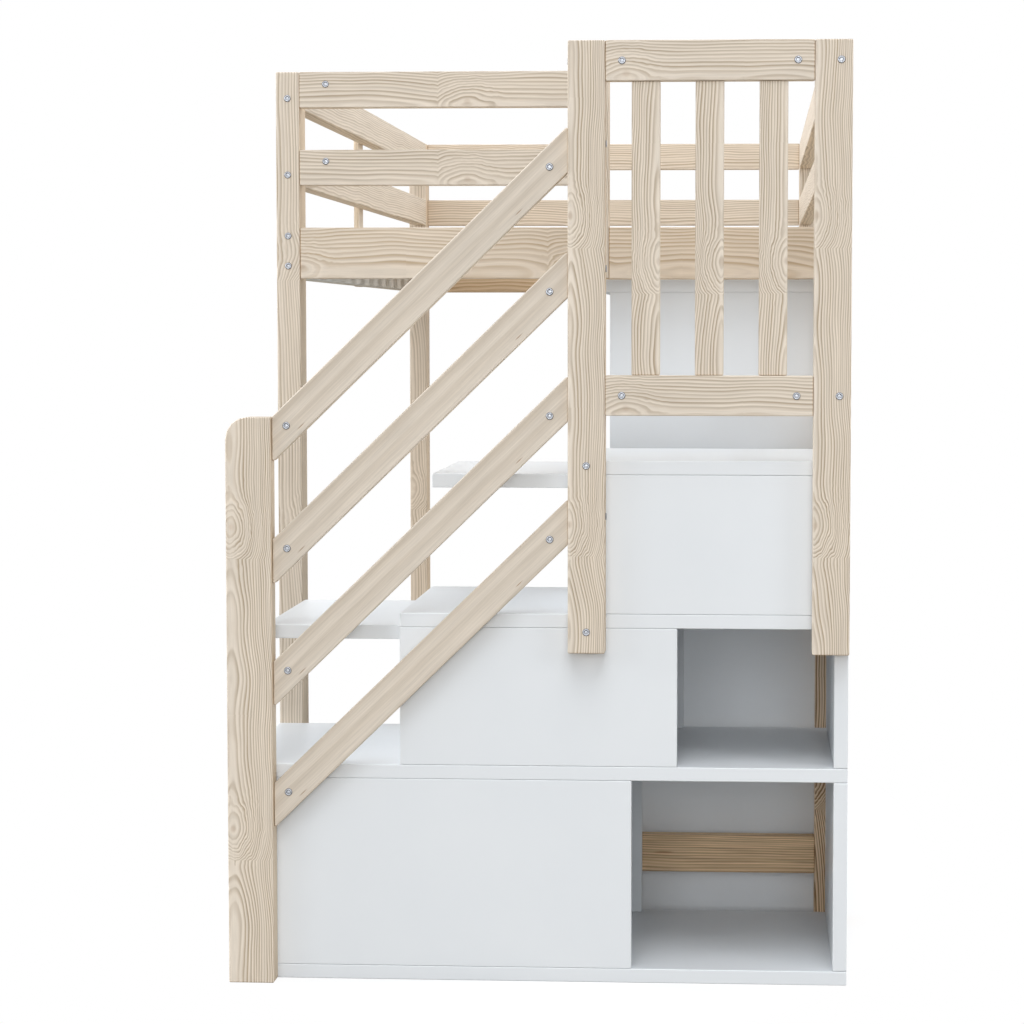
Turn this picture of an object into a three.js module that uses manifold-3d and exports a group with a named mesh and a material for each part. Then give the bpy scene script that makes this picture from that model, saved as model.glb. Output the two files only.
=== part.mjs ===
// Twin loft bed entered by a staircase of three white storage boxes.
// Millimetres. X runs across the bed, Y from the stairs' front to the bed's far end, Z up from the floor.
// Sizes below are laid out from the left end of the boxes (X 0) and their front plane (Y 0).
// The last lines move the whole bed so that its origin is the middle of its footprint, on the floor.

import * as THREE from "three";
import { mergeVertices } from "three/addons/utils/BufferGeometryUtils.js";
import Module from "manifold-3d";

const wasm = await Module();
wasm.setup();

// Gap left between two boards that touch
const seam = 0.3;

// Bed frame: four posts, end and side rails, and the beams under them
const bedWidth = 1062;
const bedLength = 1985;
const postWidth = 44;
const postDepth = 68;
const postHeight = 1606;
const railThick = 32;
const railHeight = 66.5;
const railGap = 79;
const beamHeight = 96;
const stileWidth = 64;
const crossbarHeight = 70;
const crossbarLift = 97;

// Entrance in the near end, beside a short post that is let into the face of the beam
const entryGap = 391;
const housingDepth = 12;

// Slatted base, which lies in a rabbet along each side beam
const rabbetWidth = 14;
const slatDrop = 35;
const slatThick = 18;
const slatWidth = 70;
const slatCount = 14;
const slatEndGap = 34;
const tapeWidth = 25;
const tapeThick = 2;
const tapeInset = 160;

// Stairs: three boxes on each other, each one run further to the right
const boxDepth = 460;
const boardThick = 24;
const firstRise = 375;
const stepRise = 263;
const stepRun = 292.5;
const lowerCubbyWidth = 346;
const upperCubbyWidth = 268;

// Planks under the two upper treads, which carry the tread out over the step below
const plankReach = 238.5;
const plankTail = 220;

// Newel at the foot of the stairs
const newelWidth = 78;
const newelThick = 39;
const newelHeight = 975;
const newelCorner = 38;
const cornerSteps = 10;

// Guard at the head of the stairs
const guardPostWidth = 63;
const guardPostThick = 39;
const guardProud = 2;
const guardFoot = 575;
const guardRailHeight = 68;
const guardRailThick = 26;
const guardLowerLift = 979;
const balusterWidth = 48;
const balusterThick = 18;
const balusterCount = 3;
const balusterEndShare = 0.215;

// Sloping handrails from the newel to the guard
const handrailCount = 4;
const handrailWidth = 56;
const handrailThick = 24;
const handrailInset = 12;
const handrailRise = 492;
const handrailPitch = 210;

// Open shelf cabinet under the bed, behind the stairs
const cabinetDepth = 436;
const cabinetLength = 760;
const cabinetOverhang = 24;
const cabinetBackThick = 12;
const cabinetPlinth = 60;
const cabinetShelfLift = 640;

// Places that several pieces share
const bedFront = boxDepth + seam;
const bedBack = bedFront + bedLength;
const bedInside = [postWidth + seam, bedWidth - postWidth - seam];
const bedAlong = [bedFront + postDepth + seam, bedBack - postDepth - seam];
const topRailZ = [postHeight - railHeight, postHeight];
const middleRailZ = [topRailZ[0] - railGap - railHeight, topRailZ[0] - railGap];
const beamZ = [middleRailZ[0] - railGap - beamHeight, middleRailZ[0] - railGap];
const entryX = [bedWidth - postWidth - entryGap - postDepth, bedWidth - postWidth - entryGap];
const slatZ = [beamZ[1] - slatDrop - slatThick, beamZ[1] - slatDrop];
const guardLeftX = [2 * stepRun, 2 * stepRun + guardPostWidth];
const guardRightX = [bedWidth - guardPostWidth, bedWidth];
const guardFront = -guardPostThick;
const guardTop = postHeight + guardProud;
const guardTopRailZ = [guardTop - guardRailHeight, guardTop];
const guardLowerRailZ = [guardLowerLift, guardLowerLift + guardRailHeight];

const pine = new THREE.MeshStandardMaterial({ color: 0xd8cab4, roughness: 0.6, metalness: 0 });
const birch = new THREE.MeshStandardMaterial({ color: 0xdccfb9, roughness: 0.7, metalness: 0 });
const whiteBoard = new THREE.MeshStandardMaterial({ color: 0xdfe3e6, roughness: 0.4, metalness: 0 });

const layout = new THREE.Group();

// Names a geometry, gives it a finish of its own and adds it to the bed
function addPiece(name, finish, geometry) {
  const mesh = new THREE.Mesh(geometry, finish.clone());
  mesh.name = name;
  layout.add(mesh);
  return mesh;
}

// A square-edged board that fills three spans
function boxGeometry(x, y, z) {
  const geometry = new THREE.BoxGeometry(x[1] - x[0], y[1] - y[0], z[1] - z[0]);
  return geometry.translate((x[0] + x[1]) / 2, (y[0] + y[1]) / 2, (z[0] + z[1]) / 2);
}

function addBoard(name, finish, x, y, z) {
  return addPiece(name, finish, boxGeometry(x, y, z));
}

// An outline in X and Z, as thick as the span in Y
function plateAlongY(shape, y) {
  const geometry = new THREE.ExtrudeGeometry(shape, {
    depth: y[1] - y[0],
    bevelEnabled: false,
    curveSegments: cornerSteps,
  });
  const right = new THREE.Vector3(1, 0, 0);
  const up = new THREE.Vector3(0, 0, 1);
  const towardsFront = new THREE.Vector3(0, -1, 0);
  geometry.applyMatrix4(new THREE.Matrix4().makeBasis(right, up, towardsFront));
  return geometry.translate(0, y[1], 0);
}

// An outline in Y and Z, as long as the span in X
function plateAlongX(shape, x) {
  const geometry = new THREE.ExtrudeGeometry(shape, { depth: x[1] - x[0], bevelEnabled: false });
  const away = new THREE.Vector3(0, 1, 0);
  const up = new THREE.Vector3(0, 0, 1);
  const right = new THREE.Vector3(1, 0, 0);
  geometry.applyMatrix4(new THREE.Matrix4().makeBasis(away, up, right));
  return geometry.translate(x[0], 0, 0);
}

function outline(points) {
  return new THREE.Shape(points.map(([across, up]) => new THREE.Vector2(across, up)));
}

// The closed solid that the boolean library works on
function toSolid(geometry) {
  const bare = geometry.clone();
  bare.deleteAttribute("normal");
  bare.deleteAttribute("uv");
  const merged = mergeVertices(bare);
  return new wasm.Manifold(new wasm.Mesh({
    numProp: 3,
    vertProperties: new Float32Array(merged.attributes.position.array),
    triVerts: new Uint32Array(merged.index.array),
  }));
}

function toGeometry(solid) {
  const { vertProperties, triVerts } = solid.getMesh();
  const geometry = new THREE.BufferGeometry();
  geometry.setAttribute("position", new THREE.BufferAttribute(new Float32Array(vertProperties), 3));
  geometry.setIndex(new THREE.BufferAttribute(new Uint32Array(triVerts), 1));
  geometry.computeVertexNormals();
  return geometry;
}

// A span on the left of the bed, or its mirror image on the right
function onSide(side, span) {
  return side === "left" ? span : [bedWidth - span[1], bedWidth - span[0]];
}

function addPosts() {
  const nearY = [bedFront, bedFront + postDepth];
  const farY = [bedBack - postDepth, bedBack];
  for (const side of ["left", "right"]) {
    const x = onSide(side, [0, postWidth]);
    addBoard(`near_${side}_post`, pine, x, nearY, [0, postHeight]);
    addBoard(`far_${side}_post`, pine, x, farY, [0, postHeight]);
  }
}

// The near end's beam runs from post to post, with a housing in its face for the entry post
function addNearBeam() {
  const y = [bedFront, bedFront + railThick];
  const housingX = [entryX[0] - seam, entryX[1] + seam];
  const housingY = [bedFront - seam, bedFront + housingDepth + seam];
  const housingZ = [beamZ[0] - seam, beamZ[1] + seam];
  const beam = toSolid(boxGeometry(bedInside, y, beamZ));
  const housing = toSolid(boxGeometry(housingX, housingY, housingZ));
  addPiece("near_end_beam", pine, toGeometry(beam.subtract(housing)));
}

// The entry post stands on the beam, and its tongue drops into the housing
function addEntryPost() {
  const tongueBack = bedFront + housingDepth;
  const shoulderZ = beamZ[1] + seam;
  const profile = outline([
    [bedFront, beamZ[0]],
    [tongueBack, beamZ[0]],
    [tongueBack, shoulderZ],
    [bedFront + postWidth, shoulderZ],
    [bedFront + postWidth, postHeight],
    [bedFront, postHeight],
  ]);
  addPiece("entry_post", pine, plateAlongX(profile, entryX));
}

function addNearEnd() {
  const y = [bedFront, bedFront + railThick];
  const railX = [bedInside[0], entryX[0] - seam];
  addBoard("near_end_top_rail", pine, railX, y, topRailZ);
  addBoard("near_end_middle_rail", pine, railX, y, middleRailZ);
  addNearBeam();
  addEntryPost();
  addBoard("near_end_crossbar", pine, bedInside, y, [crossbarLift, crossbarLift + crossbarHeight]);
}

function addFarEnd() {
  const y = [bedBack - railThick, bedBack];
  addBoard("far_end_top_rail", pine, bedInside, y, topRailZ);
  addBoard("far_end_middle_rail", pine, bedInside, y, middleRailZ);
  addBoard("far_end_beam", pine, bedInside, y, beamZ);
  addBoard("far_end_crossbar", pine, bedInside, y, [crossbarLift, crossbarLift + crossbarHeight]);
}

// A side beam carries the ends of the slats in a rabbet along its inner top edge
function addSideBeam(side) {
  const outer = postWidth - railThick;
  const rabbetX = postWidth - rabbetWidth;
  const seatZ = slatZ[0] - seam;
  const section = [
    [outer, beamZ[0]],
    [postWidth, beamZ[0]],
    [postWidth, seatZ],
    [rabbetX, seatZ],
    [rabbetX, beamZ[1]],
    [outer, beamZ[1]],
  ];
  const mirrored = section.map(([x, z]) => [bedWidth - x, z]);
  const points = side === "left" ? section : mirrored;
  addPiece(`${side}_side_beam`, pine, plateAlongY(outline(points), bedAlong));
}

// Each side has a beam, two rails set to the inside, and a stile that ties them together outside
function addSides() {
  const middle = (bedAlong[0] + bedAlong[1]) / 2;
  const stileY = [middle - stileWidth / 2, middle + stileWidth / 2];
  for (const side of ["left", "right"]) {
    const railX = onSide(side, [postWidth - railThick, postWidth]);
    const stileX = onSide(side, [0, postWidth - railThick - seam]);
    addSideBeam(side);
    addBoard(`${side}_side_top_rail`, pine, railX, bedAlong, topRailZ);
    addBoard(`${side}_side_middle_rail`, pine, railX, bedAlong, middleRailZ);
    addBoard(`${side}_side_stile`, pine, stileX, stileY, [beamZ[0], postHeight]);
  }
}

// The slats lie across the bed, held at even gaps by two tapes stapled into their tops
function addSlatRoll() {
  const across = [postWidth - rabbetWidth + seam, bedWidth - postWidth + rabbetWidth - seam];
  const first = bedAlong[0] + slatEndGap;
  const last = bedAlong[1] - slatEndGap - slatWidth;
  const pitch = (last - first) / (slatCount - 1);
  const tapeZ = [slatZ[1] - tapeThick / 2, slatZ[1] + tapeThick / 2];
  const tapeY = [first, last + slatWidth];
  let roll = null;
  for (let index = 0; index < slatCount; index += 1) {
    const start = first + index * pitch;
    const slat = toSolid(boxGeometry(across, [start, start + slatWidth], slatZ));
    roll = roll ? roll.add(slat) : slat;
  }
  for (const side of ["left", "right"]) {
    const tapeX = onSide(side, [tapeInset, tapeInset + tapeWidth]);
    roll = roll.add(toSolid(boxGeometry(tapeX, tapeY, tapeZ)));
  }
  addPiece("slat_roll", birch, toGeometry(roll));
}

// The walls of one box: front and back panels, the left end between them, and the right end
function addBoxWalls(name, left, panelRight, floorZ, endTopZ, ceilingZ) {
  const z = [floorZ + seam, ceilingZ - seam];
  const frontY = [0, boardThick];
  const backY = [boxDepth - boardThick, boxDepth];
  const betweenY = [frontY[1] + seam, backY[0] - seam];
  addBoard(`${name}_front_panel`, whiteBoard, [left, panelRight], frontY, z);
  addBoard(`${name}_back_panel`, whiteBoard, [left, panelRight], backY, z);
  addBoard(`${name}_left_end`, whiteBoard, [left, left + boardThick], betweenY, [z[0], endTopZ - seam]);
  addBoard(`${name}_right_end`, whiteBoard, [bedWidth - boardThick, bedWidth], [0, boxDepth], z);
}

function addTread(name, left, topZ) {
  addBoard(name, whiteBoard, [left, bedWidth], [0, boxDepth], [topZ - boardThick, topZ]);
}

// The plank lies under its tread, between the front and back panels, and rests on the box's left end
function addPlank(name, left, treadTopZ) {
  const x = [left - plankReach, left + plankTail];
  const y = [boardThick + seam, boxDepth - boardThick - seam];
  const topZ = treadTopZ - boardThick - seam;
  addBoard(name, whiteBoard, x, y, [topZ - boardThick, topZ]);
}

function addStairBoxes() {
  const insideRight = bedWidth - boardThick;
  const treadTops = [firstRise, firstRise + stepRise, firstRise + 2 * stepRise];
  addBoard("lower_box_floor", whiteBoard, [0, bedWidth], [0, boxDepth], [0, boardThick]);
  const ceilings = treadTops.map((top) => top - boardThick);
  addBoxWalls("lower_box", 0, insideRight - lowerCubbyWidth, boardThick, ceilings[0], ceilings[0]);
  addTread("first_tread", 0, treadTops[0]);
  const middleEnd = ceilings[1] - boardThick - seam;
  addBoxWalls("middle_box", stepRun, insideRight - upperCubbyWidth, treadTops[0], middleEnd, ceilings[1]);
  addTread("second_tread", stepRun, treadTops[1]);
  addPlank("second_tread_plank", stepRun, treadTops[1]);
  const upperEnd = ceilings[2] - boardThick - seam;
  addBoxWalls("upper_box", 2 * stepRun, insideRight - seam, treadTops[1], upperEnd, ceilings[2]);
  addTread("third_tread", 2 * stepRun, treadTops[2]);
  addPlank("third_tread_plank", 2 * stepRun, treadTops[2]);
}

// A flat post with one rounded shoulder, on the outer side
function addNewel() {
  const shape = new THREE.Shape();
  shape.moveTo(0, 0);
  shape.lineTo(newelWidth, 0);
  shape.lineTo(newelWidth, newelHeight);
  shape.lineTo(newelCorner, newelHeight);
  shape.absarc(newelCorner, newelHeight - newelCorner, newelCorner, Math.PI / 2, Math.PI, false);
  shape.lineTo(0, 0);
  addPiece("newel_post", pine, plateAlongY(shape, [-newelThick, -seam]));
}

function addGuardPosts() {
  const y = [guardFront, -seam];
  addBoard("guard_left_post", pine, guardLeftX, y, [guardFoot, guardTop]);
  addBoard("guard_right_post", pine, guardRightX, y, [guardFoot, guardTop]);
}

function addGuardRails() {
  const x = [guardLeftX[1] + seam, guardRightX[0] - seam];
  const y = [guardFront, guardFront + guardRailThick];
  addBoard("guard_top_rail", pine, x, y, guardTopRailZ);
  addBoard("guard_lower_rail", pine, x, y, guardLowerRailZ);
}

// The balusters share out the free width between the guard's posts, a little less of it at each end
function addBalusters() {
  const freeWidth = guardRightX[0] - guardLeftX[1] - balusterCount * balusterWidth;
  const endGap = balusterEndShare * freeWidth;
  const pitch = balusterWidth + (freeWidth - 2 * endGap) / (balusterCount - 1);
  const front = guardFront + (guardRailThick - balusterThick) / 2;
  const z = [guardLowerRailZ[1] + seam, guardTopRailZ[0] - seam];
  for (let index = 0; index < balusterCount; index += 1) {
    const left = guardLeftX[1] + endGap + index * pitch;
    const name = `guard_baluster_${index + 1}`;
    addBoard(name, pine, [left, left + balusterWidth], [front, front + balusterThick], z);
  }
}

// Two short rails close the guard's open side, from its right post back to the bed's near right post
function addReturnRails() {
  const x = [bedWidth - guardPostThick, bedWidth];
  const y = [0, bedFront - seam];
  addBoard("guard_return_top_rail", pine, x, y, guardTopRailZ);
  addBoard("guard_return_lower_rail", pine, x, y, guardLowerRailZ);
}

// The handrails are parallel boards with plumb-cut ends; the first starts level with the newel's top
function addHandrails() {
  const x = [newelWidth + seam, guardLeftX[0] - seam];
  const front = guardFront + handrailInset;
  const slope = Math.atan2(handrailRise, guardLeftX[0] - newelWidth);
  const cutHeight = handrailWidth / Math.cos(slope);
  for (let index = 0; index < handrailCount; index += 1) {
    const leftTop = newelHeight - index * handrailPitch;
    const shape = outline([
      [x[0], leftTop - cutHeight],
      [x[1], leftTop - cutHeight + handrailRise],
      [x[1], leftTop + handrailRise],
      [x[0], leftTop],
    ]);
    addPiece(`handrail_${index + 1}`, pine, plateAlongY(shape, [front, front + handrailThick]));
  }
}

// The cabinet stands on the floor and fills the height up to the side beam
function addCabinet() {
  const near = bedAlong[0];
  const x = [bedWidth - cabinetDepth, bedWidth];
  const topZ = beamZ[0] - seam;
  const sideZ = [0, topZ - boardThick - seam];
  const insideY = [near + boardThick + seam, near + cabinetLength - boardThick - seam];
  const backX = [bedWidth - cabinetBackThick, bedWidth];
  const shelfX = [x[0], backX[0] - seam];
  const topX = [x[0] - cabinetOverhang, x[1]];
  addBoard("cabinet_near_end", whiteBoard, x, [near, near + boardThick], sideZ);
  addBoard("cabinet_far_end", whiteBoard, x, [insideY[1] + seam, near + cabinetLength], sideZ);
  addBoard("cabinet_top", whiteBoard, topX, [near, near + cabinetLength], [topZ - boardThick, topZ]);
  addBoard("cabinet_back", whiteBoard, backX, insideY, sideZ);
  addBoard("cabinet_floor", whiteBoard, shelfX, insideY, [cabinetPlinth, cabinetPlinth + boardThick]);
  addBoard("cabinet_shelf", whiteBoard, shelfX, insideY, [cabinetShelfLift, cabinetShelfLift + boardThick]);
}

addPosts();
addNearEnd();
addFarEnd();
addSides();
addSlatRoll();
addStairBoxes();
addNewel();
addGuardPosts();
addGuardRails();
addBalusters();
addReturnRails();
addHandrails();
addCabinet();

// The footprint reaches from the guard's front to the bed's far end
layout.position.set(-bedWidth / 2, -(guardFront + bedBack) / 2, 0);
const bed = new THREE.Group();
bed.add(layout);

export default bed;
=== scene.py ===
# %% [markdown]
# # Loft bed with storage stairs
# A twin bed stands on tall pine posts. White storage boxes, stacked as steps, lead up to its near end.
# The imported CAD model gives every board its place. Here each board is made again with eased edges
# and with coordinates that follow its own grain, so that the timber looks sawn and not painted.
# Lengths are in metres: X runs across the bed, Y along it away from the stairs, Z up.

import bpy
import numpy as np
from mathutils import Matrix, Vector


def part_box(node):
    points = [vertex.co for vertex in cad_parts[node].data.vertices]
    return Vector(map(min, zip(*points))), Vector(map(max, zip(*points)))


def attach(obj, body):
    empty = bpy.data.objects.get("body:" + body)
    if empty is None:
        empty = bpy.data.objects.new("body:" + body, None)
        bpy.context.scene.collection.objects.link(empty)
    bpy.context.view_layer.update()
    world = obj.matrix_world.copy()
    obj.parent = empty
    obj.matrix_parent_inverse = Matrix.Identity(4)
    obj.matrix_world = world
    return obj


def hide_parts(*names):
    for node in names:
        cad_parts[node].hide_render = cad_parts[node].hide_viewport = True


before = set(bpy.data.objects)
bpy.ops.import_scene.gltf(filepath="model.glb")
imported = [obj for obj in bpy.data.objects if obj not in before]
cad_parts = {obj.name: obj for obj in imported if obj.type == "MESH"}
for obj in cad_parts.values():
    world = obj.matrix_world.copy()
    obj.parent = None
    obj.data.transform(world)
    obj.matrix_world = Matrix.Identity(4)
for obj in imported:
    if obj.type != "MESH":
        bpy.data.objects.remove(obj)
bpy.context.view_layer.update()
scene = bpy.context.scene

# %% [markdown]
# ## Camera
# The photograph is taken from a little above the stairs' middle, far off and to the right, with a long
# lens. The optical axis lies to the right of the picture's middle, so the lens is shifted.
# A camera looks along its own -Z, so a quarter turn about X makes it level. The pitch is taken from that
# turn, yaw turns it to the left, and a trace of roll comes first.

# %% Camera
IMAGE_PIXELS = 1024
SENSOR_WIDTH = 36.0
FOCAL_PIXELS = 2600.4
AXIS_PIXEL = (606.7, 485.3)
CAMERA_PLACE = (0.3619, -5.6231, 1.1290)
CAMERA_YAW = 0.0551
CAMERA_PITCH = 0.0609
CAMERA_ROLL = 0.0008


def make_camera():
    data = bpy.data.cameras.new("camera")
    data.sensor_width = SENSOR_WIDTH
    data.lens = FOCAL_PIXELS / IMAGE_PIXELS * SENSOR_WIDTH
    data.shift_x = (IMAGE_PIXELS / 2 - AXIS_PIXEL[0]) / IMAGE_PIXELS
    data.shift_y = (AXIS_PIXEL[1] - IMAGE_PIXELS / 2) / IMAGE_PIXELS
    camera = bpy.data.objects.new("camera", data)
    yaw = Matrix.Rotation(CAMERA_YAW, 4, "Z")
    pitch = Matrix.Rotation(np.pi / 2 - CAMERA_PITCH, 4, "X")
    roll = Matrix.Rotation(CAMERA_ROLL, 4, "Z")
    camera.matrix_world = Matrix.Translation(CAMERA_PLACE) @ yaw @ pitch @ roll
    scene.collection.objects.link(camera)
    scene.camera = camera
    return camera


camera = make_camera()
print("lens", round(camera.data.lens, 2), "mm")

# %% [markdown]
# ## Boards with eased edges
# A sawn board is never a perfect box: its long edges are sanded round, and that thin curve is what
# catches the light. Here a board is a plate: an outline with rounded corners, repeated at several depths
# and drawn in by a quarter circle at both faces. Extra loops beside each curve keep the flats flat.

# %% Rounded outline
EASE_STEPS = 3
HOLD_LOOP = 0.0004


def rounded_outline(corners, radii):
    """Rounds the corners of a closed outline that runs anticlockwise.

    At a corner the direction turns by an angle, and the arc that replaces it starts and ends
    radius * tan(angle / 2) from the corner. An inner corner turns the other way, so its radius is
    negative and the arc bulges inwards. Returns points and the outward normals at them.
    """
    corners = np.asarray(corners, float)
    arriving = corners - np.roll(corners, 1, axis=0)
    arriving /= np.linalg.norm(arriving, axis=1, keepdims=True)
    leaving = np.roll(arriving, -1, axis=0)
    cross = arriving[:, 0] * leaving[:, 1] - arriving[:, 1] * leaving[:, 0]
    angle = np.arctan2(cross, (arriving * leaving).sum(1))
    radius = np.broadcast_to(radii, angle.shape) * np.sign(angle)
    reach = (radius * np.tan(angle / 2))[:, None]
    normal = np.stack([arriving[:, 1], -arriving[:, 0]], 1)
    centre = corners - arriving * reach - normal * radius[:, None]
    turned = angle[:, None] * np.linspace(0, 1, EASE_STEPS + 2)
    cos, sin = np.cos(turned), np.sin(turned)
    arc_x = normal[:, :1] * cos - normal[:, 1:] * sin
    arc_y = normal[:, :1] * sin + normal[:, 1:] * cos
    arc_normals = np.stack([arc_x, arc_y], 2)
    arcs = centre[:, None] + radius[:, None, None] * arc_normals
    before = (corners - arriving * (reach + HOLD_LOOP))[:, None]
    after = (corners + leaving * (reach + HOLD_LOOP))[:, None]
    points = np.concatenate([before, arcs, after], 1).reshape(-1, 2)
    normals = np.concatenate([arc_normals[:, :1], arc_normals, arc_normals[:, -1:]], 1).reshape(-1, 2)
    return points, normals


def eased_outline(corners, ease):
    """An outline whose corners are a little rounder than its edges, so that the held loops fit."""
    return rounded_outline(corners, ease + 2 * HOLD_LOOP)


def rectangle(low, high):
    """The four corners between two opposite ones, anticlockwise."""
    return [(low[0], low[1]), (high[0], low[1]), (high[0], high[1]), (low[0], high[1])]


print("points at a rounded corner", EASE_STEPS + 4)

# %% [markdown]
# The plate's faces come from one grid: rings across the thickness, points around the outline.

# %% Plate
PLANES = {"x": (1, 2, 0), "y": (2, 0, 1), "z": (0, 1, 2)}


def link(name, vertices, faces):
    """Puts arrays of vertices and faces into a smooth mesh whose object sits at the origin."""
    mesh = bpy.data.meshes.new(name)
    mesh.from_pydata(vertices.tolist(), [], faces)
    mesh.shade_smooth()
    piece = bpy.data.objects.new(name, mesh)
    scene.collection.objects.link(piece)
    return piece


def ease_profile(low, high, ease):
    """Depths of the rings and how far each is drawn in: a quarter circle at both faces."""
    turn = np.linspace(0, np.pi / 2, EASE_STEPS + 2)
    depth = np.concatenate([[0], ease * (1 - np.cos(turn)), [ease + HOLD_LOOP]])
    inset = np.concatenate([[ease + HOLD_LOOP], ease * (1 - np.sin(turn)), [0]])
    return np.concatenate([low + depth, (high - depth)[::-1]]), np.concatenate([inset, inset[::-1]])


def ring_faces(rings, around):
    """Quads between neighbouring rings, and one flat face on the first and the last ring."""
    index = np.arange(rings * around).reshape(rings, around)
    here, there = index[:-1], index[1:]
    quads = np.stack([here, np.roll(here, -1, 1), np.roll(there, -1, 1), there], 2)
    return quads.reshape(-1, 4).tolist() + [index[0, ::-1].tolist(), index[-1].tolist()]


def make_plate(name, axis, outline, span, ease):
    """A plate whose outline lies square to an axis, and which fills a span along that axis."""
    points, normals = outline
    depth, inset = ease_profile(span[0], span[1], ease)
    first, second, third = PLANES[axis]
    rings = points[None] - normals[None] * inset[:, None, None]
    vertices = np.empty(rings.shape[:2] + (3,))
    vertices[..., first] = rings[..., 0]
    vertices[..., second] = rings[..., 1]
    vertices[..., third] = depth[:, None]
    return link(name, vertices.reshape(-1, 3), ring_faces(*rings.shape[:2]))


def make_board(name, ease):
    """A square board in the place of the CAD node of that name, with its thinnest side as thickness."""
    low, high = (np.array(corner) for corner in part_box(name))
    thin = int(np.argmin(high - low))
    axis = "xyz"[thin]
    first, second, third = PLANES[axis]
    corners = rectangle((low[first], low[second]), (high[first], high[second]))
    outline = eased_outline(corners, ease)
    return make_plate(name + "_board", axis, outline, (low[third], high[third]), ease)


print("rings across a plate", len(ease_profile(0, 1, 0.1)[0]))

# %% [markdown]
# ## Grain coordinates
# Timber is a stack of cones around the tree's pith, so its figure is worked out in depth, not drawn on
# a face. Each board carries an attribute with three lengths: along the grain, across the face and
# through the thickness, all measured from a pith line that runs beside the board at a slight tilt.
# A second attribute gives the place beside a knot, and a third how warm the colour is. That tone is partly
# painted shade, warmer and darker where a board lies in shade, and partly painted light, paler where light
# falls. All three are linear, so a few vertices are enough. Two more mark single faces: the sawn ends,
# which
# are a little warmer in colour, and the narrow sides that face right or down, which get a painted light:
# they are painted lighter and warmer.

# %% Grain attributes
AXES = np.eye(3)
GRAIN_STRIDE = 3.7
END_GRAIN_TURN = 0.35
PAINTED_SIDE_LIGHT_BELOW = 0.30
NO_KNOT = (0.0, 0.0, 0.0)
NO_TILT = (0.0, 0.0)
NO_TONE = (0.0, 0.0)


def store(piece, name, values, domain="POINT"):
    """Writes one attribute of a piece from an array of numbers or of rows of three."""
    kind, field = ("FLOAT", "value") if values.ndim == 1 else ("FLOAT_VECTOR", "vector")
    attribute = piece.data.attributes.new(name, kind, domain)
    attribute.data.foreach_set(field, np.ascontiguousarray(values, np.float32).ravel())


def read_vectors(items, field):
    """One field of a mesh's vertices or faces, as rows of three numbers."""
    flat = np.empty(len(items) * 3, np.float32)
    items.foreach_get(field, flat)
    return flat.reshape(-1, 3).astype(float)


def add_grain(piece, along, across, number, pith, tilt=NO_TILT, knot=NO_KNOT, tone=NO_TONE):
    """Stores the grain coordinates of a board.

    The place of each vertex, from the board's middle, is turned into along, across and through.
    The pith line passes at pith = (across, through) and drifts by tilt for each metre along it.
    Boards are numbered, and the number times a few metres keeps their figures apart. A knot is its
    place along and across, and its strength. The tone runs evenly from the board's low end to its
    high end, from one warmth to another, and is partly painted shade and partly painted light. Faces
    that look right or down are marked for a painted light.
    """
    along, across = np.array(along, float), np.array(across, float)
    through = np.cross(along, across)
    vertices = read_vectors(piece.data.vertices, "co")
    middle = (vertices.min(0) + vertices.max(0)) / 2
    place = (vertices - middle) @ np.stack([along, across, through], 1)
    drift = place[:, :1] * np.array(tilt) + np.array(pith)
    grain = np.column_stack([place[:, 0] + number * GRAIN_STRIDE, place[:, 1:] - drift])
    store(piece, "grain", grain)
    spot = np.column_stack([place[:, 0] - knot[0], place[:, 1] - knot[1], np.full(len(place), knot[2])])
    store(piece, "knot", spot)
    reach = np.abs(place[:, 0]).max()
    store(piece, "tone", np.interp(place[:, 0], [-reach, reach], tone))
    normals = read_vectors(piece.data.polygons, "normal")
    # Faces that look right or down are marked for a painted light: their colour is made lighter and
    # warmer.
    shown = np.maximum.reduce([np.abs(normals @ through), normals[:, 2], -normals[:, 0]])
    store(piece, "turned", (shown < PAINTED_SIDE_LIGHT_BELOW).astype(float), "FACE")
    cut = (np.abs(normals @ along) > END_GRAIN_TURN) & (normals[:, 2] < END_GRAIN_TURN)
    store(piece, "sawn_end", cut.astype(float), "FACE")


print("figures lie apart by", GRAIN_STRIDE, "m")

# %% [markdown]
# ## Writing a material in few words
# This small class makes a node, feeds its inputs with numbers or with other nodes' outputs, and hands
# back the output that is wanted. A constant goes straight onto the shader's own socket.


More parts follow.
